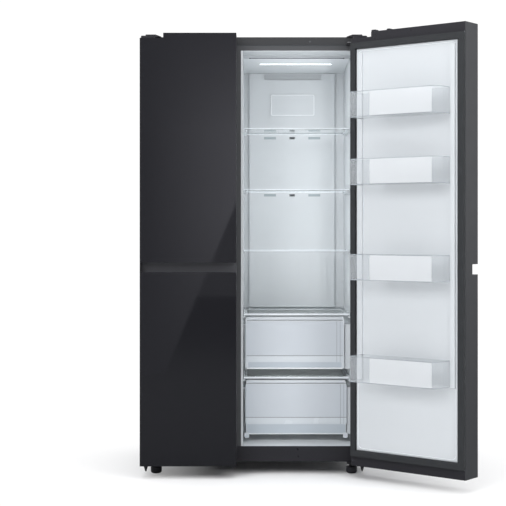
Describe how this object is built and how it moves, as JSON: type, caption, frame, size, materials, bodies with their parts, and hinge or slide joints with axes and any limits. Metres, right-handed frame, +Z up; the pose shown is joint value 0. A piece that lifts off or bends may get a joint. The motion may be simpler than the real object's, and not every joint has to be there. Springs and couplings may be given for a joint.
{
  "type": "side by side refrigerator",
  "caption": "Two-door side by side refrigerator with black glass doors; the fridge door stands open over shelves, drawers and clear door baskets.",
  "frame": {"origin": "Bottom centre of the whole box at rest, right door open, on the floor; this is not the cabinet's own centre, which lies 199.2 mm towards -X and 220.5 mm towards +Y.", "axes": "+X to the right seen from the front, +Y to the back, +Z up; the doors face -Y"},
  "size_m": [1.3112, 1.0641, 1.79],
  "materials": {
    "dark_steel": "satin dark grey paint",
    "galvanised": "galvanised sheet",
    "zinc_steel": "zinc plated",
    "black_steel": "black painted steel",
    "foam": null,
    "white_liner": "satin white moulding",
    "dark_plastic": "fine grained dark moulding",
    "handle_grey": "smooth dark handle moulding",
    "black_glass": "black back-painted glass, opaque",
    "seal_rubber": "dark grey seal",
    "clear_plastic": "clear styrene",
    "frosted_plastic": "frosted drawer front",
    "shelf_trim": "white shelf frame",
    "shelf_glass": "tempered glass",
    "lamp_white": "lit diffuser",
    "fin_aluminium": "plain fins",
    "copper_tube": null,
    "grey_plastic": "plain grey moulding"
  },
  "bodies": {
    "cabinet": {"base_pan": "galvanised", "bottom_rail": "dark_steel", "cabinet_foam": "foam", "cabinet_shell": "dark_steel", "ceiling_lamp": "lamp_white", "compressor": "black_steel", "compressor_mounts": "seal_rubber", "condenser": "fin_aluminium", "condenser_shroud": "grey_plastic", "control_box": "grey_plastic", "crisper_covers": "shelf_trim", "drip_tray": "grey_plastic", "evaporator": "fin_aluminium", "filter_cover": "white_liner", "freezer_back_cover": "white_liner", "freezer_drawers": "clear_plastic", "freezer_liner": "white_liner", "freezer_shelves": "shelf_trim", "fridge_air_ducts": "white_liner", "fridge_liner": "white_liner", "fridge_shelf_1": "shelf_trim", "fridge_shelf_2": "shelf_trim", "fridge_shelf_3": "shelf_trim", "fridge_shelf_panes": "shelf_glass", "hinge_bolts": "zinc_steel", "hinge_covers": "dark_plastic", "hinges": "black_steel", "rear_panels": "galvanised", "refrigerant_tubes": "copper_tube", "supply_inlet": "seal_rubber", "top_front_cover": "dark_plastic"},
    "right_door": {"right_basket_1": "clear_plastic", "right_basket_2": "clear_plastic", "right_basket_3": "clear_plastic", "right_basket_4": "clear_plastic", "right_door_caps": "dark_plastic", "right_door_foam": "foam", "right_door_gasket": "seal_rubber", "right_door_glass": "black_glass", "right_door_liner": "white_liner", "right_door_profiles": "dark_plastic", "right_handle_channel": "handle_grey"},
    "left_door": {"left_door_baskets": "clear_plastic", "left_door_caps": "dark_plastic", "left_door_foam": "foam", "left_door_gasket": "seal_rubber", "left_door_glass": "black_glass", "left_door_liner": "white_liner", "left_door_profiles": "dark_plastic", "left_handle_channel": "handle_grey"},
    "upper_drawer": {"upper_crisper_bin": "clear_plastic", "upper_crisper_front": "frosted_plastic"},
    "lower_drawer": {"lower_crisper_bin": "clear_plastic", "lower_crisper_front": "frosted_plastic"},
    "left_foot": {"left_front_foot": "dark_plastic"},
    "right_foot": {"right_front_foot": "dark_plastic"},
    "left_roller": {"left_rear_roller": "dark_plastic"},
    "right_roller": {"right_rear_roller": "dark_plastic"},
    "condenser_fan": {"condenser_fan": "grey_plastic"},
    "evaporator_fan": {"evaporator_fan": "grey_plastic"}
  },
  "joints": [
    {"name": "right_door_hinge", "type": "hinge", "parent": "cabinet", "child": "right_door", "pos_m": [0.23639, -0.15231, 0.9], "axis": [0, 0, 1], "range_deg": [-141.2, 8.8]},
    {"name": "left_door_hinge", "type": "hinge", "parent": "cabinet", "child": "left_door", "pos_m": [-0.63482, -0.15231, 0.9], "axis": [0, 0, -1], "range_deg": [0, 150]},
    {"name": "upper_drawer_slide", "type": "slide", "parent": "cabinet", "child": "upper_drawer", "axis": [0, -1, 0], "range_m": [0, 0.3]},
    {"name": "lower_drawer_slide", "type": "slide", "parent": "cabinet", "child": "lower_drawer", "axis": [0, -1, 0], "range_m": [0, 0.3]},
    {"name": "left_foot_turn", "type": "hinge", "parent": "cabinet", "child": "left_foot", "pos_m": [-0.59922, -0.06201, 0.027], "axis": [0, 0, 1], "continuous": true},
    {"name": "left_roller_spin", "type": "hinge", "parent": "cabinet", "child": "left_roller", "pos_m": [-0.56922, 0.47799, 0.025], "axis": [1, 0, 0], "continuous": true},
    {"name": "right_foot_turn", "type": "hinge", "parent": "cabinet", "child": "right_foot", "pos_m": [0.20078, -0.06201, 0.027], "axis": [0, 0, 1], "continuous": true},
    {"name": "right_roller_spin", "type": "hinge", "parent": "cabinet", "child": "right_roller", "pos_m": [0.17078, 0.47799, 0.025], "axis": [1, 0, 0], "continuous": true},
    {"name": "condenser_fan_spin", "type": "hinge", "parent": "cabinet", "child": "condenser_fan", "pos_m": [-0.19922, 0.45299, 0.138], "axis": [1, 0, 0], "continuous": true},
    {"name": "evaporator_fan_spin", "type": "hinge", "parent": "cabinet", "child": "evaporator_fan", "pos_m": [-0.44272, 0.36599, 0.985], "axis": [0, 1, 0], "continuous": true}
  ]
}
